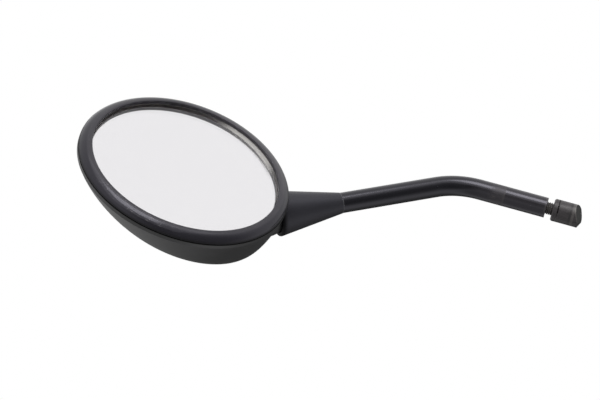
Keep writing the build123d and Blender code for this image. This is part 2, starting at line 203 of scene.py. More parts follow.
class Finishes(bpy.types.PropertyGroup):
    """Colours of the finishes."""

    rubber: colour("Rubber", "Bead round the glass", 0.022, 0.021, 0.026)
    # Lighter rubber: real scuffs, and a painted sheen on the crest, with painted light on its brighter side
    rubber_worn_and_sheen: colour("Worn rubber", "Rubbed crest of the bead", 0.20, 0.19, 0.20)
    # Colours under the lip: dusting made pale as painted light, since that underside lies in shade; the
    # paler one also paints light on one side
    dust_and_light: colour("Dust", "Dust along the lip of the bead", 0.45, 0.42, 0.40)
    pale_dust_and_light: colour("Pale dust", "Dust on the dustiest side of the lip", 0.90, 0.88, 0.85)
    shell: colour("Shell plastic", "Housing", 0.029, 0.029, 0.030)
    # Painted shade: a dark colour for the crease under the bead, on the housing's rim and round the neck's
    # mouth
    groove: colour("Groove", "Dirt in the groove under the bead", 0.006, 0.006, 0.006)
    nylon: colour("Nylon", "Neck cover", 0.019, 0.019, 0.023)
    # Painted highlight: a pale line along the neck's narrow end
    nylon_painted_highlight: colour("Worn nylon", "Rubbed edge of the neck", 0.09, 0.09, 0.095)
    paint: colour("Black paint", "Tube", 0.008, 0.008, 0.010)
    paint_handled: colour("Handled paint", "Greyed paint near the foot", 0.024, 0.022, 0.025)
    paint_worn: colour("Worn paint", "Rubbed band of the tube", 0.10, 0.09, 0.085)
    phosphate: colour("Phosphate", "Plug and stud", 0.060, 0.054, 0.057)
    phosphate_dark: colour("Dark phosphate", "Dark streaks and nose of the plug", 0.014, 0.016, 0.014)
    # Lighter phosphate: wear on the filed edge and a pale ring, and painted light on the stud, which its
    # gap shades
    phosphate_worn_and_lit: colour("Worn phosphate", "Rubbed edges of the plug", 0.19, 0.18, 0.17)
    cool: colour("Cool sheen", "Sheen of the black finishes", 0.90, 0.88, 1.0)
    silver: colour("Silvering", "Mirror coat behind the glass", 0.843, 0.833, 0.850)
    clear: colour("Clear glass", "Glass in front of the silvering", 0.98, 0.98, 0.98)
    steel: colour("Steel", "Ball, springs, plate and screws", 0.55, 0.55, 0.56)
    acetal: colour("Acetal", "Seats and pressure ring", 0.75, 0.74, 0.70)
    foam: colour("Foam", "Pad behind the glass", 0.10, 0.10, 0.10)
    floor: colour("Floor", "Pale floor", 0.8, 0.8, 0.8)


class StageSettings(bpy.types.PropertyGroup):
    """Camera, room, lamps and floor. The dark sides of the room are given in the camera's axes."""

    azimuth: angle("Azimuth", "Camera's bearing; 0 looks along +Y", -54.61)
    elevation: angle("Elevation", "Camera's height as an angle", -8.49)
    aim: place("Aim", "Point in the middle of the picture", -0.02995, 0.02302, 0.16208)
    distance: length("Distance", "From the camera to the aim", 1071.0)
    roll_up: direction("Picture up", "Way that stands upright in the picture", 0.5257, -0.8084, 0.2648)
    lens: amount("Lens", "Focal length in millimetres", 103.0, unit="CAMERA")
    ambient: amount("Ambient", "Room's light on matte surfaces", 0.36)
    ambient_slope: amount("Ambient slope", "How much stronger that light is above", 0.18)
    camera_dark: direction("Dark side", "Dark side of the room behind the camera", 0.45, 0.1, 0.9)
    under_dark: direction("Dark underside", "Dark side of the room under the object", 0.35, -0.45, -0.82)
    left_dim: direction("Dim left side", "Half-dark side of the room at the left", -0.5, -0.7, 0.5)
    dim_inner: angle("Dim side", "Reach of the darkest part of each dark side", 15.0)
    dim_outer: angle("Dim side's edge", "Reach of each dark side", 62.0)
    dim_share: share("Dimming", "Share of light that the dark sides lack", 0.92)
    left_share: share("Left dimming", "Share of light that the left side lacks", 0.5)
    softbox_distance: length("Softbox distance", "From the object to the softbox", 1200.0)
    softbox_angle: angle("Softbox angle", "From the camera's side up to the softbox", 57.0)
    softbox_side: angle("Softbox side", "How far the softbox stands to the right", 4.0)
    softbox_size: length("Softbox size", "Side of the softbox", 1400.0)
    softbox_power: amount("Softbox power", "Power of the softbox", 5.2, unit="POWER")
    window_place: place("Window lamp", "Middle of the window lamp", 0.15, -3.0, 0.46)
    window_width: length("Window width", "Level side of the window lamp", 1500.0)
    window_height: length("Window height", "Upright side of the window lamp", 1450.0)
    window_power: amount("Window power", "Power of the window lamp", 30.0, unit="POWER")
    floor_drop: length("Floor drop", "From the plug's nose down to the floor", 250.0)
    floor_half: length("Floor half", "Half the floor's side", 1000.0)
    floor_glow: share("Floor glow", "How white shiny surfaces see the floor", 0.9)


# Shader maths on sockets
def maths(operation, reflected=False):
    """A method of a wire that adds a Math node and gives its output."""

    def method(wire, other):
        first, second = (other, wire) if reflected else (wire, other)
        return wire.nodes.add("ShaderNodeMath", {"operation": operation}, {0: first, 1: second})

    return method


class Wire:
    """An output socket that takes part in Python's arithmetic."""

    __add__ = maths("ADD")
    __radd__ = maths("ADD", reflected=True)
    __sub__ = maths("SUBTRACT")
    __rsub__ = maths("SUBTRACT", reflected=True)
    __mul__ = maths("MULTIPLY")
    __rmul__ = maths("MULTIPLY", reflected=True)
    __truediv__ = maths("DIVIDE")
    most = maths("MAXIMUM")
    angle_from = maths("ARCTAN2")

    def __init__(self, nodes, socket):
        self.nodes = nodes
        self.socket = socket

    def root(self):
        """Square root."""
        return self.nodes.add("ShaderNodeMath", {"operation": "SQRT"}, {0: self})

    def rise(self, low, high):
        """A smooth step from 0 at low to 1 at high."""
        settings = {"interpolation_type": "SMOOTHSTEP"}
        return self.nodes.add(
            "ShaderNodeMapRange", settings, {"Value": self, "From Min": low, "From Max": high}
        )

    def past(self, edge, low, high):
        """A smooth step from 0 to 1, whose limits are in millimetres past an edge."""
        return self.rise(edge + low * MM, edge + high * MM)

    def before(self, edge, low, high):
        """A smooth step from 1 to 0, whose limits are in millimetres past an edge."""
        return 1.0 - self.past(edge, low, high)

    def within(self, start, full, fade, end):
        """A band with soft sides, whose limits are in millimetres."""
        return self.past(0.0, start, full) * self.before(0.0, fade, end)


class Nodes:
    """Nodes of one material or world."""

    def __init__(self, owner):
        owner.use_nodes = True
        self.owner = owner
        self.tree = owner.node_tree
        self.tree.nodes.clear()

    def add(self, kind, settings=None, inputs=None, output=0):
        """Adds a node, sets it up, feeds its inputs and gives one of its outputs."""
        node = self.tree.nodes.new(kind)
        for name, value in (settings or {}).items():
            setattr(node, name, value)
        for name, value in (inputs or {}).items():
            if isinstance(value, Wire):
                self.tree.links.new(value.socket, node.inputs[name])
            else:
                node.inputs[name].default_value = value
        if not node.outputs:
            return None
        return Wire(self, node.outputs[output])

    def place(self, matrix=None):
        """Object coordinates, as seen from a frame that stands in the object's space."""
        point = self.add("ShaderNodeTexCoord", output="Object")
        if matrix is None:
            return point
        inputs = {
            "Vector": point,
            "Location": matrix.to_translation(),
            "Rotation": matrix.to_euler(),
        }
        return self.add("ShaderNodeMapping", {"vector_type": "TEXTURE"}, inputs)

    def parts(self, vector):
        """The three parts of a vector."""
        first = self.add("ShaderNodeSeparateXYZ", inputs={"Vector": vector})
        return [Wire(self, socket) for socket in first.socket.node.outputs]

    def along(self, vector, way):
        """How far a point reaches along a direction."""
        inputs = {0: vector, 1: way}
        return self.add("ShaderNodeVectorMath", {"operation": "DOT_PRODUCT"}, inputs, output="Value")

    def join(self, x, y, z):
        """A vector from three values."""
        return self.add("ShaderNodeCombineXYZ", inputs={"X": x, "Y": y, "Z": z})

    def noise(self, vector, scale, detail, roughness=0.5):
        """Noise from 0 to 1."""
        inputs = {"Vector": vector, "Scale": scale, "Detail": detail, "Roughness": roughness}
        return self.add("ShaderNodeTexNoise", inputs=inputs)

    def blend(self, factor, first, second):
        """Mixes two colours, at the Mix node's sockets for colours."""
        inputs = {0: factor, 6: first, 7: second}
        return self.add("ShaderNodeMix", {"data_type": "RGBA"}, inputs, output=2)

    def bump(self, height, distance, strength):
        """Normal from a height, whose unit is the distance given."""
        inputs = {"Height": height, "Distance": distance, "Strength": strength}
        return self.add("ShaderNodeBump", inputs=inputs)

    def principled(self, inputs):
        """A Principled shader."""
        return self.add("ShaderNodeBsdfPrincipled", inputs=inputs)

    def layer(self, factor, first, second):
        """Mixes two shaders."""
        return self.add("ShaderNodeMixShader", inputs={0: factor, 1: first, 2: second})

    def surface(self, shader):
        """Leads a shader to the material's output and gives the material."""
        self.add("ShaderNodeOutputMaterial", inputs={"Surface": shader})
        return self.owner


def shade(tint, factor=1.0):
    """A colour with full alpha, dimmed or raised by a factor."""
    return (*(factor * value for value in tint), 1.0)


def new_material(name):
    """Nodes of a new material."""
    return Nodes(bpy.data.materials.new(name))


# Frames of the stem and the head
def upright(origin, x_axis, z_axis):
    """Matrix of a frame with the given origin and axes."""
    y_axis = z_axis.cross(x_axis)
    matrix = Matrix((x_axis, y_axis, z_axis)).transposed().to_4x4()
    matrix.translation = origin
    return matrix


def joint_frame():
    """Frame of the ball: z along the stem from the ball, x along the tilt axis."""
    return upright(ball, tilt_way, stem_way)


def head_frame(head):
    """Frame of the head: z along the glass's normal, x from the head's axis towards the ball."""
    normal = Vector((0.0, -cos(head.pitch), -sin(head.pitch)))
    above = Vector((0.0, -sin(head.pitch), cos(head.pitch)))
    towards = Vector((sin(head.ball_bearing), 0.0, 0.0)) - above * cos(head.ball_bearing)
    centre = ball - towards * head.ball_offset + normal * head.ball_behind
    return upright(centre, towards, normal)


def filed_side(stem):
    """A point of the filed side of the nose, and its normal."""
    heading = Vector((cos(stem.bevel_heading), sin(stem.bevel_heading), 0.0))
    point = heading * stem.plug_radius + UP * (stem.bevel_rise - stem.grip_half)
    return point, heading * cos(stem.bevel_angle) - UP * sin(stem.bevel_angle)


def foot_levels(stem):
    """Levels of the plug's top and the tube's end."""
    plug_top = stem.grip_half + stem.saw_width + stem.collar_length
    return plug_top, plug_top + stem.stud_gap


def dome_height(head, radius):
    """Height of the convex front above its centre of curvature, at a radius."""
    return sqrt(head.glass_curve**2 - radius**2)


# Meshes
def only(items, kind):
    """The items of one kind."""
    return [item for item in items if isinstance(item, kind)]


class Profile:
    """A line of edges in the XZ plane, drawn point by point and then turned about Z."""

    def __init__(self, radius, level):
        self.mesh = bmesh.new()
        self.first = self.mesh.verts.new((radius, 0.0, level))
        self.last = self.first

    def lines(self, *points):
        """Straight from point to point, each a radius and a level."""
        for radius, level in points:
            point = self.mesh.verts.new((radius, 0.0, level))
            self.mesh.edges.new((self.last, point))
            self.last = point

    def arc(self, centre, turn, steps):
        """Round a centre by an angle, counted from Z towards the outside."""
        result = bmesh.ops.spin(
            self.mesh, geom=[self.last], cent=(centre[0], 0.0, centre[1]), axis=(0.0, 1.0, 0.0),
            angle=turn, steps=steps, use_merge=False,
        )
        self.last = only(result["geom_last"], bmesh.types.BMVert)[0]

    def close(self):
        """Back to the first point."""
        self.mesh.edges.new((self.last, self.first))

    def turned(self, steps):
        """Turns the line into a closed surface about Z."""
        bmesh.ops.spin(
            self.mesh, geom=self.mesh.verts[:] + self.mesh.edges[:], cent=(0.0, 0.0, 0.0),
            axis=UP, angle=2 * pi, steps=steps, use_merge=True,
        )
        bmesh.ops.remove_doubles(self.mesh, verts=self.mesh.verts, dist=0.002 * MM)
        bmesh.ops.recalc_face_normals(self.mesh, faces=self.mesh.faces)
        return self.mesh


def slice_off(mesh, point, normal):
    """Cuts off what lies beyond a plane."""
    everything = mesh.verts[:] + mesh.edges[:] + mesh.faces[:]
    bmesh.ops.bisect_plane(mesh, geom=everything, plane_co=point, plane_no=normal, clear_outer=True)


def close_cuts(mesh):
    """Fills the open ends that cuts have left."""
    bmesh.ops.holes_fill(mesh, edges=[edge for edge in mesh.edges if edge.is_boundary], sides=0)
    bmesh.ops.recalc_face_normals(mesh, faces=mesh.faces)


def soften(mesh, offset, limit):
    """Rounds the edges whose faces meet at more than a limit, in degrees."""
    sharp = [edge for edge in mesh.edges if edge.is_manifold and edge.calc_face_angle() > radians(limit)]
    bmesh.ops.bevel(
        mesh, geom=sharp, offset=offset, offset_type="OFFSET", segments=2, profile=0.5,
        affect="EDGES", clamp_overlap=True, material=-1,
    )


def add_object(name, mesh):
    """Makes an object of a mesh and puts it in the scene."""
    data = bpy.data.meshes.new(name)
    mesh.to_mesh(data)
    mesh.free()
    item = bpy.data.objects.new(name, data)
    bpy.context.scene.collection.objects.link(item)
    return item


def piece(name, mesh, matrix, material, body, node):
    """Makes an object of a mesh, in the frame given, that stands for a CAD node on a body."""
    bmesh.ops.transform(mesh, matrix=matrix, verts=mesh.verts)
    item = add_object(name, mesh)
    item.data.materials.append(material)
    shade_straight(item)
    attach(item, body)
    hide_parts(node)
    return item


def cut(context, item, mesh):
    """Takes the volume of a mesh out of a piece."""
    cutter = add_object("cutter", mesh)
    item.modifiers.clear()
    modifier = item.modifiers.new("cut", "BOOLEAN")
    modifier.operation = "DIFFERENCE"
    modifier.solver = "EXACT"
    modifier.object = cutter
    spent = (item.data, cutter.data)
    item.data = bpy.data.meshes.new_from_object(item.evaluated_get(context.evaluated_depsgraph_get()))
    item.modifiers.clear()
    bpy.data.objects.remove(cutter)
    for data in spent:
        bpy.data.meshes.remove(data)
    item.data.name = item.name


def round_edges(item, width):
    """Rounds the sharp edges of a finished piece."""
    modifier = item.modifiers.new("edges", "BEVEL")
    modifier.width = width
    modifier.segments = 2
    modifier.limit_method = "ANGLE"
    modifier.angle_limit = ROUNDED_FROM
    shade_straight(item)


def shade_straight(item):
    """Shades a piece smooth between its sharp edges, and a long wall straight up to its rounded end."""
    item.data.shade_smooth()
    item.data.set_sharp_from_angle(angle=SHARP_FROM)
    modifier = item.modifiers.new("straight_shading", "WEIGHTED_NORMAL")
    modifier.mode = "FACE_AREA"
    modifier.keep_sharp = True


def dress(nodes, material):
    """Gives CAD nodes a material."""
    for name in nodes:
        data = frame["nodes"][name].data
        data.materials.clear()
        data.materials.append(material)


# Finishes
def facing(nodes, point, radius, bearing, edge, full):
    """The side of the head at a bearing; its edge and its full part are cosines of the angle from it."""
    way = Vector((cos(bearing), sin(bearing), 0.0))
    return (nodes.along(point, way) / radius).rise(edge, full)


def rubber_finish(tint, head, matrix):
    """Satin rubber, scuffed in short strokes on one side, with a painted sheen on its crest, painted light
    on one side, painted shade at its foot, and dusted under its lip, made paler as painted light.
    """
    nodes = new_material("satin_rubber")
    point = nodes.place(matrix)
    x, y, level = nodes.parts(point)
    radius = (x * x + y * y).root()
    grain = nodes.noise(nodes.place(), scale=2600.0, detail=2.0)
    cloud = nodes.noise(nodes.place(), scale=60.0, detail=4.0)
    stroke_place = nodes.join(y.angle_from(x) * 9.0, radius * 900.0, level * 900.0)
    strokes = nodes.noise(stroke_place, scale=2.2, detail=3.0, roughness=0.6)
    scuffed_side = facing(nodes, point, radius, head.scuff_bearing, 0.80, 0.97)
    # Side with painted light and the most dusting
    dusty_lit_side = facing(nodes, point, radius, head.dust_and_light_bearing, 0.55, 0.92)
    wiped_side = facing(nodes, point, radius, head.wiped_bearing, 0.05, 0.45)
    crest = radius.before(head.bead_crest_edge, -0.5, 1.0)
    slope = radius.before(head.bead_crest_edge, 2.0, 2.8)
    wall = radius.before(head.bead_lip, 0.2, 0.5)
    # Painted shade at the bead's foot, where it meets the housing
    foot = radius.past(head.bead_foot, -0.9, -0.2)
    over_glass = radius.before(head.glass_radius, 0.0, 0.3)
    near_glass = level.before(head.glass_level, 0.32, 0.5)
    lip = over_glass * near_glass * (1.0 - wiped_side)
    scuffs = strokes.rise(0.58, 0.68) * (crest * 0.15 + slope * scuffed_side * 0.85)
    # Lighter crest: scuffs are real wear; the even lightening of the crest is a painted sheen, and the
    # extra on one side is painted light
    worn = crest * (0.04 + cloud * 0.12 + dusty_lit_side * 0.12) + scuffs * 0.7
    rubbed = nodes.blend(worn, shade(tint.rubber), shade(tint.rubber_worn_and_sheen))
    # Under the lip: dusting, made pale as painted light for its shaded underside
    dust_and_light = nodes.blend(dusty_lit_side, shade(tint.dust_and_light), shade(tint.pale_dust_and_light))
    dusty_and_lit = nodes.blend(lip, rubbed, dust_and_light)
    return nodes.surface(nodes.principled({
        "Base Color": nodes.blend(foot, dusty_and_lit, shade(tint.groove)),
        "Roughness": 0.11 + grain * 0.06 + worn * 0.15 + wall.most(lip).most(foot) * 0.4,
        "Specular IOR Level": 0.35,
        "Specular Tint": shade(tint.cool),
        "Normal": nodes.bump((grain + strokes * 0.6) * (1.0 - wall), distance=0.006 * MM, strength=0.3),
    }))


def shell_finish(tint, head, matrix):
    """Moulded plastic with a fine grain and cloudy gloss, and painted shade in the groove of the rim."""
    nodes = new_material("moulded_shell")
    level = nodes.parts(nodes.place(matrix))[2]
    grain = nodes.noise(nodes.place(), scale=2200.0, detail=2.0)
    cloud = nodes.noise(nodes.place(), scale=45.0, detail=4.0)
    # Painted shade along the groove under the bead
    groove = level.past(head.groove_level, -0.2, -0.05)
    plastic = nodes.blend(cloud.rise(0.35, 0.75), shade(tint.shell), shade(tint.shell, 1.5))
    return nodes.surface(nodes.principled({
        "Base Color": nodes.blend(groove, plastic, shade(tint.groove)),
        "Roughness": 0.36 + cloud * 0.12 + groove * 0.4,
        "Specular IOR Level": 0.6,
        "Normal": nodes.bump(grain, distance=0.008 * MM, strength=0.3),
    }))


def nylon_finish(tint, stem):
    """Matte moulded nylon, with a painted highlight along its narrow end and painted shade round its mouth.
    """
    nodes = new_material("matte_nylon")
    station = nodes.parts(nodes.place(joint_frame()))[2]
    grain = nodes.noise(nodes.place(), scale=1800.0, detail=3.0)
    cloud = nodes.noise(nodes.place(), scale=70.0, detail=3.0)
    tip = stem.mouth_from_ball + stem.neck_length
    # Painted highlight along the narrow end
    rubbed = station.past(tip, -0.55, -0.3)
    # Painted shade round the mouth, where it turns towards the bowl
    mouth = station.before(stem.mouth_from_ball, 0.8, 4.0)
    plain = nodes.blend(cloud, shade(tint.nylon), shade(tint.nylon, 1.4))
    moulded = nodes.principled({
        "Base Color": nodes.blend(rubbed, plain, shade(tint.nylon_painted_highlight)),
        "Roughness": 0.36 + grain * 0.08,
        "Specular IOR Level": 0.37,
        "Specular Tint": shade(tint.cool),
        "Normal": nodes.bump(grain, distance=0.01 * MM, strength=0.4),
    })
    # Dark rough layer near the mouth: painted shade
    painted_shade = nodes.principled({
        "Base Color": shade(tint.groove), "Roughness": 0.9, "Specular IOR Level": 0.1,
    })
    return nodes.surface(nodes.layer(mouth * 0.85, moulded, painted_shade))


def paint_finish(tint, stem):
    """Glossy black paint, greyed by hands near the foot and rubbed at the start of the bend."""
    nodes = new_material("satin_paint")
    point = nodes.place()
    x, y, level = nodes.parts(point)
    peel = nodes.noise(point, scale=700.0, detail=2.0)
    cloud = nodes.noise(point, scale=90.0, detail=4.0)
    scratch_place = nodes.join(x * 700.0, y * 700.0, level * 160.0)
    scratches = nodes.noise(scratch_place, scale=1.0, detail=4.0, roughness=0.65)
    foot = foot_levels(stem)[1]
    sawn_end = level.before(foot, 0.7, 1.6)
    handled = level.before(foot, 30.0, 60.0)
    band = level.within(*RUBBED_BAND)
    band_edge = band * level.before(RUBBED_BAND[1] * MM, 0.0, 1.0)
    rubbed = band * (0.08 + scratches.rise(0.46, 0.70) * 0.5)
    worn = rubbed.most(band_edge * 0.3).most(sawn_end * 0.3)
    plain = nodes.blend(handled, shade(tint.paint), shade(tint.paint_handled))
    return nodes.surface(nodes.principled({
        "Base Color": nodes.blend(worn, plain, shade(tint.paint_worn)),
        "Roughness": 0.13 + cloud * 0.08 + band * 0.2 + worn * 0.3,
        "Specular Tint": shade(tint.cool),
        "Normal": nodes.bump(peel, distance=0.007 * MM, strength=0.3),
    }))


def phosphate_finish(tint, stem):
    """Grey phosphate coat on turned steel, streaky on the grip, dark and pitted on the nose."""
    nodes = new_material("phosphated_steel")
    point = nodes.place()
    x, y, level = nodes.parts(point)
    cloud = nodes.noise(point, scale=160.0, detail=4.0, roughness=0.6)
    pits = nodes.noise(point, scale=1500.0, detail=4.0, roughness=0.6)
    turning_place = nodes.join(x * 20.0, y * 20.0, level * 2600.0)
    turning = nodes.noise(turning_place, scale=1.0, detail=2.0)
    streak_place = nodes.join(x * 900.0, y * 900.0, level * 90.0)
    streaks = nodes.noise(streak_place, scale=1.0, detail=3.0, roughness=0.6)
    file_point, file_normal = filed_side(stem)
    depth = nodes.along(point, file_normal) - file_point.dot(file_normal)
    filed = depth.past(0.0, -0.15, -0.05)
    file_edge = depth.past(0.0, -0.75, -0.3) * (1.0 - filed)
    nose = filed.most(level.before(-stem.grip_half, -0.05, 0.05))
    plug_top = foot_levels(stem)[0]
    # Painted light: the stud is made lighter to stand in for the light that its gap shades off
    thread = level.past(plug_top, 0.1, 0.4)
    dark_grip = (streaks.rise(0.42, 0.7) * 0.55).most(level.within(*DARK_RING) * 0.5)
    dark = dark_grip.most(nose * (0.55 + pits * 0.7))
    # Lighter parts: wear at the filed edge, a pale ring on the grip, and painted light on the stud
    rubbed = (file_edge * 0.75).most(level.within(*PALE_RING) * 0.35).most(thread * 0.4)
    worn = rubbed * (0.4 + cloud) * (1.0 - nose)
    coat = nodes.blend(dark, shade(tint.phosphate), shade(tint.phosphate_dark))
    return nodes.surface(nodes.principled({
        "Base Color": nodes.blend(worn, coat, shade(tint.phosphate_worn_and_lit)),
        "Metallic": 0.2,
        "Roughness": 0.32 + cloud * 0.16 + nose * 0.25,
        "Specular IOR Level": 0.4,
        "Normal": nodes.bump(pits * (0.3 + nose) + turning * 0.5, distance=0.03 * MM, strength=0.5),
    }))


def silver_finish(tint, head, matrix):
    """Clear glass, silvered on its back, with faint specks in the silvering, and a pale film at one edge
    that is dusting and painted light.
    """
    nodes = new_material("silvered_glass")
    point = nodes.place(matrix)
    x, y, level = nodes.parts(point)
    square = x * x + y * y
    radius = square.root()
    dusty_lit_side = facing(nodes, point, radius, head.dust_and_light_bearing, 0.86, 0.985)
    # Pale film inside the lip on one side: dusting and painted light
    film = radius.past(head.bead_lip, -4.6, -2.6) * dusty_lit_side * 0.5
    dome = (head.glass_radius**2 - square) / (2.0 * head.glass_curve)
    depth = dome + head.glass_level - level
    back = depth.rise(0.5 * head.glass_thickness, 0.6 * head.glass_thickness)
    specks = nodes.noise(nodes.place(), scale=900.0, detail=1.0).rise(0.78, 0.82)
    clear = nodes.principled({
        "Base Color": shade(tint.clear), "Roughness": 0.0, "Transmission Weight": 1.0,
    })
    silver = nodes.principled({
        "Base Color": nodes.blend(specks * 0.6, shade(tint.silver), shade(tint.silver, 0.9)),
        "Metallic": 1.0,
        "Roughness": 0.02,
    })
    dusty_and_lit = nodes.principled({"Base Color": shade(tint.pale_dust_and_light), "Roughness": 0.8})
    silvered = nodes.layer(back, clear, silver)
    return nodes.surface(nodes.layer(film * (1.0 - back), silvered, dusty_and_lit))


def steel_finish(tint):
    """Bright turned steel."""
    nodes = new_material("bright_steel")
    brushing = nodes.noise(nodes.place(joint_frame()), scale=1500.0, detail=3.0)
    return nodes.surface(nodes.principled({
        "Base Color": shade(tint.steel),
        "Metallic": 1.0,
        "Roughness": 0.22 + brushing * 0.16,
    }))


def acetal_finish(tint):
    """White moulded acetal."""
    nodes = new_material("white_acetal")
    cloud = nodes.noise(nodes.place(), scale=300.0, detail=3.0)
    return nodes.surface(nodes.principled({
        "Base Color": nodes.blend(cloud, shade(tint.acetal), shade(tint.acetal, 0.9)),
        "Roughness": 0.35 + cloud * 0.1,
    }))


def foam_finish(tint):
    """Dark closed-cell foam."""
    nodes = new_material("grey_foam")
    cells = nodes.noise(nodes.place(), scale=1400.0, detail=4.0)
    return nodes.surface(nodes.principled({
        "Base Color": nodes.blend(cells, shade(tint.foam, 0.5), shade(tint.foam)),
        "Roughness": 0.9,
        "Normal": nodes.bump(cells, distance=0.1 * MM, strength=0.6),
    }))


# Operators
class MIRROR_OT_tube(bpy.types.Operator):
    """Bent tube of the stem"""

    bl_idname = "mirror.tube"
    bl_label = "Stem tube"

    def execute(self, context):
        stem = context.scene.mirror_stem
        mesh = bmesh.new()
        outer = self.run(mesh, stem, stem.tube_radius)
        inner = self.run(mesh, stem, stem.tube_radius - stem.tube_wall)
        for first, second in zip(outer, inner):
            bmesh.ops.bridge_loops(mesh, edges=first + second)
        bmesh.ops.recalc_face_normals(mesh, faces=mesh.faces)
        soften(mesh, stem.tube_edge, limit=60.0)
        finish = paint_finish(context.scene.mirror_finishes, stem)
        piece("stem_tube_skin", mesh, Matrix.Identity(4), finish, "stem", "stem_tube")
        return {"FINISHED"}

    def run(self, mesh, stem, radius):
        """One wall of the tube; gives the edges of its two ends."""
        foot = foot_levels(stem)[1]
        along = -stem_way
        turn = UP.angle(along)
        setback = stem.bend_radius * tan(turn / 2)
        lean = Vector((along.x, along.y, 0.0)).normalized()
        bend_start = foot + stem.lower_run - setback
        corner = UP * (foot + stem.lower_run)
        top_run = (ball - corner).length - setback - stem.cup_radius - stem.neck_web
        ring = bmesh.ops.create_circle(
            mesh, cap_ends=False, radius=radius, segments=64, matrix=Matrix.Translation(UP * foot)
        )
        first = list({edge for vert in ring["verts"] for edge in vert.link_edges})
        last = self.stretch(mesh, first, UP * (bend_start - foot))
        bend = bmesh.ops.spin(
            mesh, geom=last, cent=lean * stem.bend_radius + UP * bend_start, axis=UP.cross(lean),
            angle=turn, steps=28, use_merge=False,
        )
        last = only(bend["geom_last"], bmesh.types.BMEdge)
        return first, self.stretch(mesh, last, along * top_run)

    @staticmethod
    def stretch(mesh, edges, offset):
        """Extends a ring of edges by an offset; gives the new ring."""
        made = bmesh.ops.extrude_edge_only(mesh, edges=edges)["geom"]
        verts = only(made, bmesh.types.BMVert)
        bmesh.ops.translate(mesh, vec=offset, verts=verts)
        ring = set(verts)
        return [edge for edge in only(made, bmesh.types.BMEdge) if ring.issuperset(edge.verts)]


class MIRROR_OT_neck(bpy.types.Operator):
    """Conical neck cover with a cup-shaped mouth"""

    bl_idname = "mirror.neck"
    bl_label = "Neck cover"

    def execute(self, context):
        stem = context.scene.mirror_stem
        bore = stem.tube_radius - stem.tube_wall
        tube_stop = stem.cup_radius + stem.neck_web
        tip = stem.mouth_from_ball + stem.neck_length
        cup_at_mouth = sqrt(stem.cup_radius**2 - stem.mouth_from_ball**2)
        cup_at_bore = sqrt(stem.cup_radius**2 - bore**2)
        cup_turn = atan2(bore, cup_at_bore) - atan2(cup_at_mouth, stem.mouth_from_ball)
        slope = atan2(stem.mouth_radius - stem.neck_tip_radius, stem.neck_length)
        edge_start = stem.mouth_radius - stem.mouth_edge * tan((pi / 2 - slope) / 2)
        edge_middle = (edge_start, stem.mouth_from_ball + stem.mouth_edge)
        profile = Profile(cup_at_mouth, stem.mouth_from_ball)
        profile.lines((edge_start, stem.mouth_from_ball))
        profile.arc(edge_middle, -(pi / 2 + slope), steps=8)
        profile.lines(
            (stem.neck_tip_radius, tip), (stem.tube_radius, tip), (stem.tube_radius, tube_stop),
            (bore, tube_stop), (bore, cup_at_bore),
        )
        profile.arc((0.0, 0.0), -cup_turn, steps=16)
        mesh = profile.turned(steps=128)
        soften(mesh, stem.neck_tip_edge, limit=50.0)
        finish = nylon_finish(context.scene.mirror_finishes, stem)
        piece("neck_cover", mesh, joint_frame(), finish, "stem", "neck")
        return {"FINISHED"}


class MIRROR_OT_stud(bpy.types.Operator):
    """Threaded stud between the plug and the tube"""

    bl_idname = "mirror.stud"
    bl_label = "Threaded stud"

    steps = 40
    spare_turns = 3

    def execute(self, context):
        stem = context.scene.mirror_stem
        plug_top, tube_end = foot_levels(stem)
        mesh = self.thread(stem, plug_top - stem.stud_in_plug, tube_end)
        self.shank(mesh, stem, tube_end)
        finish = phosphate_finish(context.scene.mirror_finishes, stem)
        piece("threaded_stud", mesh, Matrix.Identity(4), finish, "stem", "mounting_stud")
        return {"FINISHED"}

    def thread(self, stem, low, high):
        """Helix of the thread, cut flat and closed at both ends."""
        pitch = stem.thread_pitch
        root = stem.stud_radius - stem.thread_depth
        crest_half = pitch * stem.thread_flat / 2
        turns = int((high - low) / pitch) + self.spare_turns
        profile = Profile(root, low - pitch)
        profile.lines(
            (stem.stud_radius, low - pitch / 2 - crest_half),
            (stem.stud_radius, low - pitch / 2 + crest_half), (root, low),
        )
        mesh = profile.mesh
        bmesh.ops.spin(
            mesh, geom=mesh.verts[:] + mesh.edges[:], cent=(0.0, 0.0, 0.0), axis=UP,
            dvec=UP * (pitch / self.steps), angle=2 * pi * turns, steps=self.steps * turns, use_merge=False,
        )
        bmesh.ops.remove_doubles(mesh, verts=mesh.verts, dist=0.02 * MM)
        slice_off(mesh, UP * low, -UP)
        slice_off(mesh, UP * high, UP)
        close_cuts(mesh)
        return mesh

    @staticmethod
    def shank(mesh, stem, level):
        """Plain end that sits in the tube."""
        bore = stem.tube_radius - stem.tube_wall
        middle = Matrix.Translation(UP * (level + stem.stud_in_tube / 2))
        bmesh.ops.create_cone(
            mesh, cap_ends=True, segments=48, radius1=bore, radius2=bore,
            depth=stem.stud_in_tube, matrix=middle,
        )


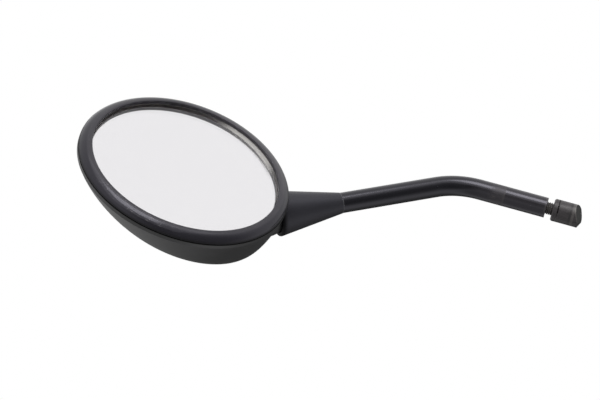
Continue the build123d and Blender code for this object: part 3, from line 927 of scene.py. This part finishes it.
class MIRROR_OT_plug(bpy.types.Operator):
    """Slotted plug at the foot of the stem"""

    bl_idname = "mirror.plug"
    bl_label = "Clamp plug"

    def execute(self, context):
        stem = context.scene.mirror_stem
        mesh = self.turned_plug(stem)
        slice_off(mesh, *filed_side(stem))
        close_cuts(mesh)
        finish = phosphate_finish(context.scene.mirror_finishes, stem)
        plug = piece("slotted_plug", mesh, Matrix.Identity(4), finish, "plug", "clamp_plug")
        cut(context, plug, self.saw_blade(stem))
        round_edges(plug, stem.plug_softness)
        return {"FINISHED"}

    @staticmethod
    def turned_plug(stem):
        """Plug as it leaves the lathe, with the stud's bore."""
        plug_top = foot_levels(stem)[0]
        nose_tip = -stem.grip_half - stem.nose_length
        bore = stem.stud_radius + stem.stud_clearance
        bore_end = plug_top - stem.stud_in_plug - stem.stud_end_room
        profile = Profile(0.0, nose_tip)
        profile.lines(
            (stem.nose_tip_radius, nose_tip), (stem.plug_radius, -stem.grip_half),
            (stem.plug_radius, plug_top - stem.plug_edge), (stem.plug_radius - stem.plug_edge, plug_top),
            (bore, plug_top), (bore, bore_end), (0.0, bore_end),
        )
        return profile.turned(steps=96)

    @staticmethod
    def saw_blade(stem):
        """Box that the saw takes away."""
        mesh = bmesh.new()
        side = 2 * stem.plug_radius
        middle = Matrix.Translation((
            stem.plug_radius - stem.saw_depth + side / 2, 0.0, stem.grip_half + stem.saw_width / 2,
        ))
        turn = Matrix.Rotation(stem.saw_heading, 4, "Z")
        blade = Matrix.Diagonal((side, side, stem.saw_width, 1.0))
        bmesh.ops.create_cube(mesh, size=1.0, matrix=turn @ middle @ blade)
        return mesh


class MIRROR_OT_housing(bpy.types.Operator):
    """Bowl-shaped housing of the glass"""

    bl_idname = "mirror.housing"
    bl_label = "Housing"

    def execute(self, context):
        head = context.scene.mirror_head
        dress(["housing"], shell_finish(context.scene.mirror_finishes, head, head_frame(head)))
        return {"FINISHED"}


class MIRROR_OT_bead(bpy.types.Operator):
    """Rubber bead round the glass"""

    bl_idname = "mirror.bead"
    bl_label = "Rubber bead"

    def execute(self, context):
        head = context.scene.mirror_head
        leg_inner = head.glass_radius + head.bead_clearance
        leg_outer = leg_inner + head.bead_leg
        dome = dome_height(head, head.bead_lip) - dome_height(head, head.glass_radius)
        over_glass = head.glass_level + dome + head.bead_clearance
        width = head.bead_foot - head.bead_top
        height = head.bead_top_level - head.rim_face
        crown = (width**2 + height**2) / (2 * height)
        lip_round = head.bead_top - head.bead_lip
        profile = Profile(head.bead_foot, head.rim_face)
        profile.arc((head.bead_top, head.bead_top_level - crown), -asin(width / crown), steps=24)
        profile.arc((head.bead_top, head.bead_top_level - lip_round), -pi / 2, steps=8)
        profile.lines(
            (head.bead_lip, over_glass), (leg_inner, over_glass), (leg_inner, head.ledge_level),
            (leg_outer, head.ledge_level), (leg_outer, head.rim_face),
        )
        profile.close()
        mesh = profile.turned(steps=192)
        soften(mesh, head.bead_softness, limit=40.0)
        matrix = head_frame(head)
        finish = rubber_finish(context.scene.mirror_finishes, head, matrix)
        piece("rubber_bead", mesh, matrix, finish, "head", "rim_seal")
        return {"FINISHED"}


class MIRROR_OT_glass(bpy.types.Operator):
    """Convex mirror glass with a ground edge"""

    bl_idname = "mirror.glass"
    bl_label = "Mirror glass"

    def execute(self, context):
        head = context.scene.mirror_head
        edge_height = dome_height(head, head.glass_radius)
        half_turn = acos(edge_height / head.glass_curve)
        front_centre = head.glass_level - edge_height
        back_centre = front_centre - head.glass_thickness
        profile = Profile(0.0, front_centre + head.glass_curve)
        profile.arc((0.0, front_centre), half_turn, steps=24)
        profile.lines((head.glass_radius, head.glass_level - head.glass_thickness))
        profile.arc((0.0, back_centre), -half_turn, steps=24)
        mesh = profile.turned(steps=160)
        soften(mesh, head.glass_edge, limit=60.0)
        matrix = head_frame(head)
        finish = silver_finish(context.scene.mirror_finishes, head, matrix)
        piece("convex_glass", mesh, matrix, finish, "head", "mirror_glass")
        return {"FINISHED"}


class MIRROR_OT_inside(bpy.types.Operator):
    """Ball, seats, springs, plate, screws and pad inside the head"""

    bl_idname = "mirror.inside"
    bl_label = "Inner pieces"

    def execute(self, context):
        tint = context.scene.mirror_finishes
        dress(["ball_stud", "disc_springs", "retainer_plate", "retainer_screws"], steel_finish(tint))
        dress(["lower_seat", "upper_seat", "pressure_ring"], acetal_finish(tint))
        dress(["backing_pad"], foam_finish(tint))
        return {"FINISHED"}


class MIRROR_OT_stage(bpy.types.Operator):
    """Floor, lamps, world and camera"""

    bl_idname = "mirror.stage"
    bl_label = "Stage"

    def execute(self, context):
        scene = context.scene
        stage = scene.mirror_stage
        scene.view_settings.view_transform = "Standard"
        back = Vector((
            sin(stage.azimuth) * cos(stage.elevation),
            -cos(stage.azimuth) * cos(stage.elevation),
            sin(stage.elevation),
        ))
        side = Vector(stage.roll_up).cross(back).normalized()
        view = upright(Vector(stage.aim) + back * stage.distance, side, back)
        self.floor(scene, stage, view)
        self.world(scene, stage, view)
        self.camera(scene, stage, view)
        self.softbox(scene, stage, view)
        self.window(scene, stage)
        return {"FINISHED"}

    @staticmethod
    def rays(nodes):
        """Which rays come from the camera, and which from shiny or clear surfaces."""
        paths = nodes.add("ShaderNodeLightPath").socket.node.outputs
        shiny = Wire(nodes, paths["Is Glossy Ray"]).most(Wire(nodes, paths["Is Transmission Ray"]))
        return Wire(nodes, paths["Is Camera Ray"]), shiny

    @staticmethod
    def room(nodes, way, stage, view):
        """Light of the room along a direction: white, with two dark sides and a half-dark one."""
        turn = view.to_3x3()
        reach = cos(stage.dim_outer), cos(stage.dim_inner)
        behind_camera = nodes.along(way, turn @ Vector(stage.camera_dark).normalized())
        under_object = nodes.along(way, turn @ Vector(stage.under_dark).normalized())
        at_left = nodes.along(way, turn @ Vector(stage.left_dim).normalized())
        dark = behind_camera.most(under_object).rise(*reach) * stage.dim_share
        return 1.0 - dark.most(at_left.rise(*reach) * stage.left_share)

    def floor(self, scene, stage, view):
        """Pale floor below the plug, which shiny surfaces see as a part of the room."""
        mesh = bmesh.new()
        level = Matrix.Translation(UP * (cad_bounds[0][2] - stage.floor_drop))
        bmesh.ops.create_grid(mesh, x_segments=1, y_segments=1, size=stage.floor_half, matrix=level)
        floor = add_object("floor", mesh)
        nodes = new_material("pale_floor")
        offset = nodes.add(
            "ShaderNodeVectorMath", {"operation": "SUBTRACT"}, {0: nodes.place(), 1: cad_middle}
        )
        way = nodes.add("ShaderNodeVectorMath", {"operation": "NORMALIZE"}, {0: offset})
        glow = nodes.blend(self.room(nodes, way, stage, view), BLACK, WHITE)
        lit = nodes.principled({"Base Color": shade(scene.mirror_finishes.floor), "Roughness": 0.8})
        bright = nodes.principled({
            "Base Color": BLACK, "Emission Color": glow, "Emission Strength": 1.0,
        })
        shiny = self.rays(nodes)[1]
        floor.data.materials.append(nodes.surface(nodes.layer(shiny * stage.floor_glow, lit, bright)))

    def world(self, scene, stage, view):
        """White surroundings, which shiny surfaces see as the room and which light matte ones evenly."""
        world = bpy.data.worlds.new("white_room")
        scene.world = world
        nodes = Nodes(world)
        seen, shiny = self.rays(nodes)
        way = nodes.add("ShaderNodeTexCoord", output="Generated")
        above = nodes.along(way, view.to_3x3() @ Vector((0.0, 1.0, 0.0)))
        ambient = stage.ambient + above * stage.ambient_slope
        strength = seen.most(shiny * self.room(nodes, way, stage, view) + (1.0 - shiny) * ambient)
        light = nodes.add("ShaderNodeBackground", inputs={"Color": WHITE, "Strength": strength})
        nodes.add("ShaderNodeOutputWorld", inputs={"Surface": light})

    @staticmethod
    def camera(scene, stage, view):
        """Camera at the picture's angle."""
        data = bpy.data.cameras.new("camera")
        data.lens = stage.lens
        data.clip_start = 10.0 * MM
        camera = bpy.data.objects.new("camera", data)
        camera.matrix_world = view
        scene.collection.objects.link(camera)
        scene.camera = camera

    def softbox(self, scene, stage, view):
        """Large soft lamp above the camera."""
        raised = Vector((0.0, sin(stage.softbox_angle), cos(stage.softbox_angle)))
        away = raised * cos(stage.softbox_side) + Vector((sin(stage.softbox_side), 0.0, 0.0))
        spot = cad_middle + view.to_3x3() @ away * stage.softbox_distance
        size = stage.softbox_size, stage.softbox_size
        self.hang(scene, "softbox", stage.softbox_power, size, spot, cad_middle)

    def window(self, scene, stage):
        """Bright lamp far in front of the glass, as a window."""
        spot = Vector(stage.window_place)
        size = stage.window_width, stage.window_height
        self.hang(scene, "window_lamp", stage.window_power, size, spot, UP * spot.z)

    @staticmethod
    def hang(scene, name, power, size, spot, target):
        """Hangs an area lamp in a spot, turned to a target."""
        data = bpy.data.lights.new(name, "AREA")
        data.shape = "RECTANGLE"
        data.size, data.size_y = size
        data.energy = power
        lamp = bpy.data.objects.new(name, data)
        lamp.location = spot
        lamp.rotation_euler = (target - spot).to_track_quat("-Z", "Y").to_euler()
        scene.collection.objects.link(lamp)


class MIRROR_PT_panel(bpy.types.Panel):
    """Lists the mirror's pieces and the stage"""

    bl_idname = "MIRROR_PT_panel"
    bl_label = "Round Motorcycle Mirror"
    bl_space_type = "VIEW_3D"
    bl_region_type = "UI"
    bl_category = "Mirror"

    def draw(self, context):
        for maker in makers:
            self.layout.operator(maker.bl_idname)


makers = (
    MIRROR_OT_tube,
    MIRROR_OT_neck,
    MIRROR_OT_stud,
    MIRROR_OT_plug,
    MIRROR_OT_housing,
    MIRROR_OT_bead,
    MIRROR_OT_glass,
    MIRROR_OT_inside,
    MIRROR_OT_stage,
)
setting_groups = (
    ("mirror_stem", StemSizes),
    ("mirror_head", HeadSizes),
    ("mirror_finishes", Finishes),
    ("mirror_stage", StageSettings),
)


def register():
    for name, group in setting_groups:
        bpy.utils.register_class(group)
        setattr(bpy.types.Scene, name, bpy.props.PointerProperty(type=group))
    for maker in makers:
        bpy.utils.register_class(maker)
    bpy.utils.register_class(MIRROR_PT_panel)


def unregister():
    bpy.utils.unregister_class(MIRROR_PT_panel)
    for maker in reversed(makers):
        bpy.utils.unregister_class(maker)
    for name, group in reversed(setting_groups):
        delattr(bpy.types.Scene, name)
        bpy.utils.unregister_class(group)


def main():
    """Makes every piece and the stage."""
    register()
    bpy.ops.mirror.tube()
    bpy.ops.mirror.neck()
    bpy.ops.mirror.stud()
    bpy.ops.mirror.plug()
    bpy.ops.mirror.housing()
    bpy.ops.mirror.bead()
    bpy.ops.mirror.glass()
    bpy.ops.mirror.inside()
    bpy.ops.mirror.stage()


if __name__ == "__main__":
    main()
